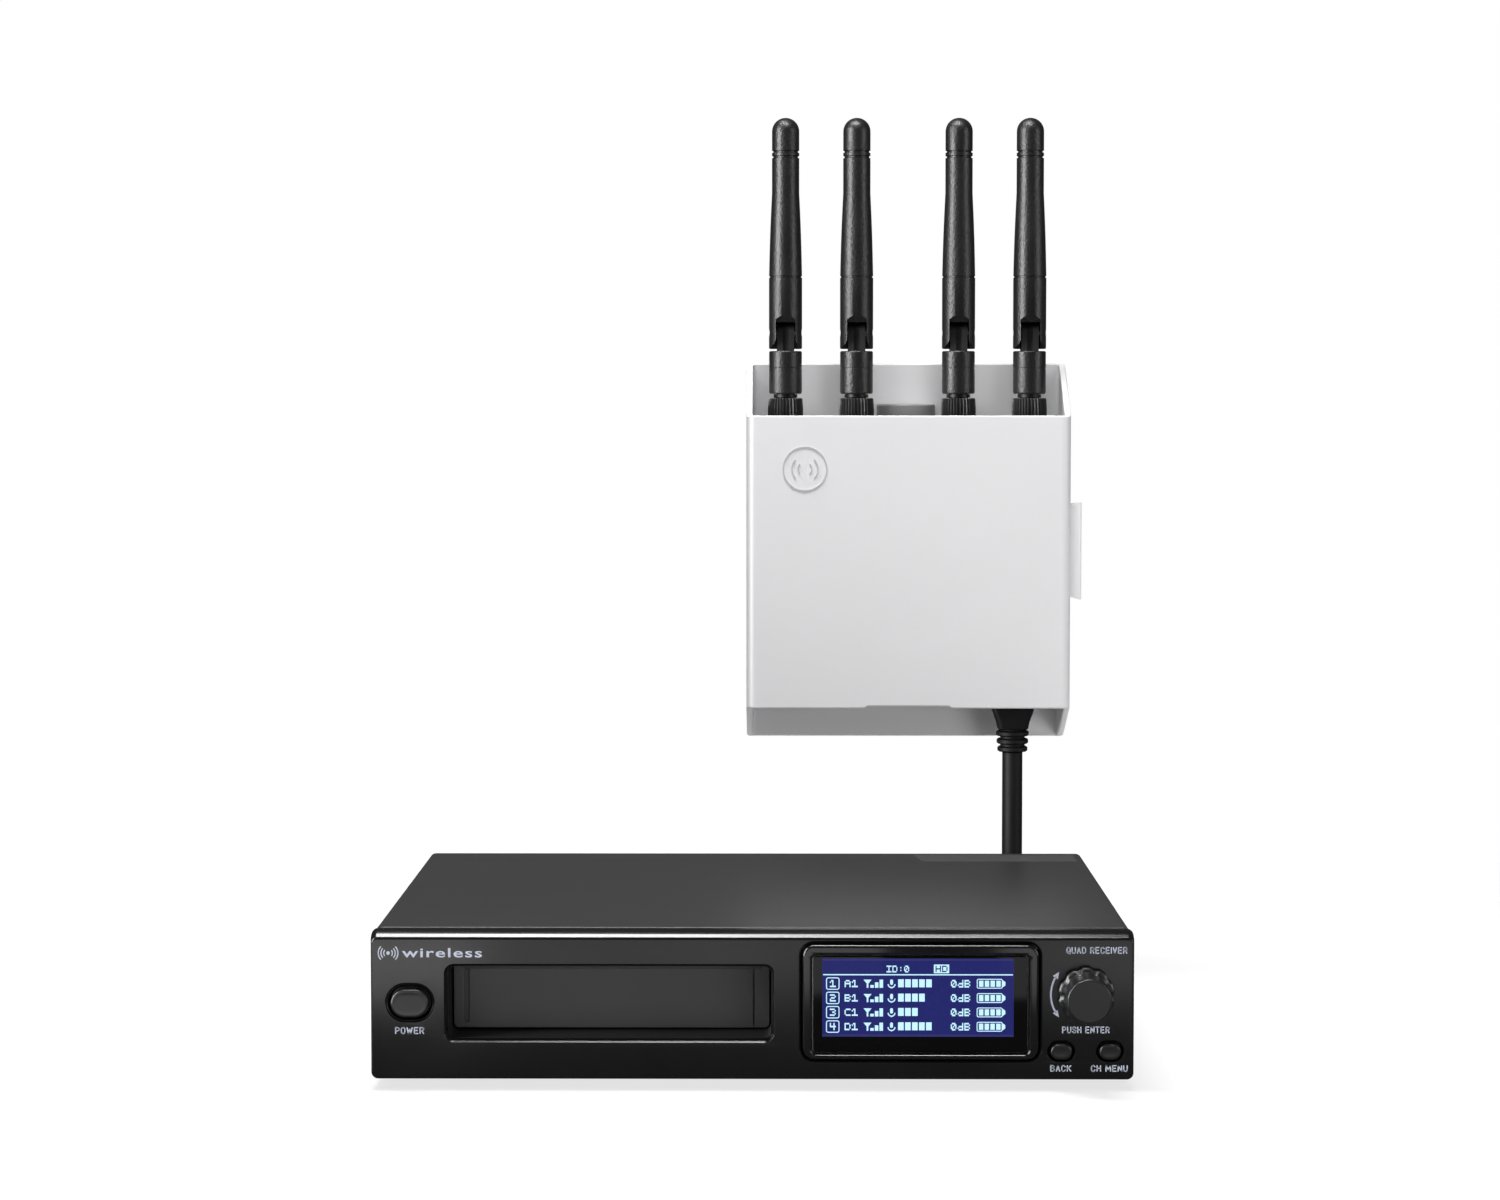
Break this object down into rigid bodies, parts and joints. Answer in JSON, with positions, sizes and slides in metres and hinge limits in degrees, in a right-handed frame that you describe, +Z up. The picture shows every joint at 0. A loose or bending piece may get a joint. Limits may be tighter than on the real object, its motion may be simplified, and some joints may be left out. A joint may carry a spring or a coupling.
{
  "type": "wireless receiver unit",
  "caption": "Half-rack wireless receiver with display, dial and module bay, and a remote four-aerial unit in a wall bracket, joined by a coiled link cable.",
  "frame": {"origin": "on the surface the receiver's feet stand on, under the middle of the unit's box without its link cable", "axes": "+X to the right seen from the front, +Y from the front panel to the back, +Z up"},
  "size_m": [0.21, 0.2761, 0.2805],
  "materials": {
    "black_paint": "satin black powder coat, fine texture",
    "black_plastic": "matt moulded plastic, fine grain",
    "key_plastic": "satin moulded keys",
    "display_glass": "glossy black display lens",
    "lcd_blue": "deep blue backlit LCD",
    "white_paint": "satin white paint",
    "plated_steel": "plated steel",
    "gold_brass": "gold-plated brass and board",
    "board_green": "green circuit board",
    "rubber": "soft black rubber",
    "cable_black": "black flexible cable jacket",
    "tie_fabric": "black hook-and-loop strap"
  },
  "bodies": {
    "root": {"front_panel": "black_paint", "top_cover": "black_paint", "chassis_base": "black_paint", "rear_panel": "black_paint", "foot_1": "rubber", "foot_2": "rubber", "foot_3": "rubber", "foot_4": "rubber", "bay_liner": "black_plastic", "display_bezel": "black_plastic", "xlr_out_1": "black_plastic", "xlr_out_2": "black_plastic", "xlr_out_3": "black_plastic", "xlr_out_4": "black_plastic", "link_ports": "black_plastic", "dc_inlet": "black_plastic", "module_shell_front": "black_plastic", "module_shell_back": "black_plastic", "flap_hinge_pin": "plated_steel", "encoder_body": "plated_steel", "mix_out_jack": "plated_steel", "antenna_port": "plated_steel", "cord_hook": "plated_steel", "module_jack": "plated_steel", "display_window": "display_glass", "lcd_module": "lcd_blue", "front_board": "board_green", "power_switch": "board_green", "main_board": "board_green", "module_board": "gold_brass", "bracket_sleeve": "white_paint", "antenna_1_nut": "black_plastic", "antenna_2_nut": "black_plastic", "antenna_3_nut": "black_plastic", "antenna_4_nut": "black_plastic", "link_plug_top": "cable_black", "link_cord_drop": "cable_black", "link_cord_coil": "cable_black", "link_cord_lead": "cable_black", "link_plug_rear": "cable_black", "link_coil_tie": "tie_fabric"},
    "power_button_body": {"power_button": "key_plastic"},
    "back_button_body": {"back_button": "key_plastic"},
    "ch_menu_button_body": {"ch_menu_button": "key_plastic"},
    "dial_push_body": {"encoder_plunger": "black_plastic"},
    "dial_body": {"encoder_shaft": "plated_steel", "dial_knob": "black_plastic"},
    "bay_flap_body": {"bay_flap": "black_paint"},
    "antenna_1_swivel_body": {"antenna_1_base": "black_plastic", "antenna_1_pin": "plated_steel"},
    "antenna_1_blade_body": {"antenna_1_blade": "black_plastic"},
    "antenna_2_swivel_body": {"antenna_2_base": "black_plastic", "antenna_2_pin": "plated_steel"},
    "antenna_2_blade_body": {"antenna_2_blade": "black_plastic"},
    "antenna_3_swivel_body": {"antenna_3_base": "black_plastic", "antenna_3_pin": "plated_steel"},
    "antenna_3_blade_body": {"antenna_3_blade": "black_plastic"},
    "antenna_4_swivel_body": {"antenna_4_base": "black_plastic", "antenna_4_pin": "plated_steel"},
    "antenna_4_blade_body": {"antenna_4_blade": "black_plastic"}
  },
  "joints": [
    {"name": "power_button_press", "type": "slide", "parent": "root", "child": "power_button_body", "axis": [0, 1, 0], "range_m": [0, 0.0015], "stiffness_N_per_m": 300},
    {"name": "back_button_press", "type": "slide", "parent": "root", "child": "back_button_body", "axis": [0, 1, 0], "range_m": [0, 0.001], "stiffness_N_per_m": 300},
    {"name": "ch_menu_button_press", "type": "slide", "parent": "root", "child": "ch_menu_button_body", "axis": [0, 1, 0], "range_m": [0, 0.001], "stiffness_N_per_m": 300},
    {"name": "dial_press", "type": "slide", "parent": "root", "child": "dial_push_body", "axis": [0, 1, 0], "range_m": [0, 0.0006], "stiffness_N_per_m": 600},
    {"name": "dial_turn", "type": "hinge", "parent": "dial_push_body", "child": "dial_body", "pos_m": [0.0916, -0.09425, 0.0268], "axis": [0, 1, 0], "continuous": true},
    {"name": "bay_flap_swing", "type": "hinge", "parent": "root", "child": "bay_flap_body", "pos_m": [-0.0393, -0.07825, 0.0324], "axis": [1, 0, 0], "range_deg": [0, 80], "stiffness_Nm_per_rad": 0.002, "springref_deg": -28.65},
    {"name": "antenna_1_swivel", "type": "hinge", "parent": "root", "child": "antenna_1_swivel_body", "pos_m": [0.0096, 0.09075, 0.2], "axis": [0, 0, 1], "continuous": true},
    {"name": "antenna_1_fold", "type": "hinge", "parent": "antenna_1_swivel_body", "child": "antenna_1_blade_body", "pos_m": [0.0096, 0.09075, 0.2113], "axis": [1, 0, 0], "range_deg": [0, 90]},
    {"name": "antenna_2_swivel", "type": "hinge", "parent": "root", "child": "antenna_2_swivel_body", "pos_m": [0.0326, 0.09075, 0.2], "axis": [0, 0, 1], "continuous": true},
    {"name": "antenna_2_fold", "type": "hinge", "parent": "antenna_2_swivel_body", "child": "antenna_2_blade_body", "pos_m": [0.0326, 0.09075, 0.2113], "axis": [1, 0, 0], "range_deg": [0, 90]},
    {"name": "antenna_3_swivel", "type": "hinge", "parent": "root", "child": "antenna_3_swivel_body", "pos_m": [0.0656, 0.09075, 0.2], "axis": [0, 0, 1], "continuous": true},
    {"name": "antenna_3_fold", "type": "hinge", "parent": "antenna_3_swivel_body", "child": "antenna_3_blade_body", "pos_m": [0.0656, 0.09075, 0.2113], "axis": [1, 0, 0], "range_deg": [0, 90]},
    {"name": "antenna_4_swivel", "type": "hinge", "parent": "root", "child": "antenna_4_swivel_body", "pos_m": [0.0886, 0.09075, 0.2], "axis": [0, 0, 1], "continuous": true},
    {"name": "antenna_4_fold", "type": "hinge", "parent": "antenna_4_swivel_body", "child": "antenna_4_blade_body", "pos_m": [0.0886, 0.09075, 0.2113], "axis": [1, 0, 0], "range_deg": [0, 90]}
  ]
}
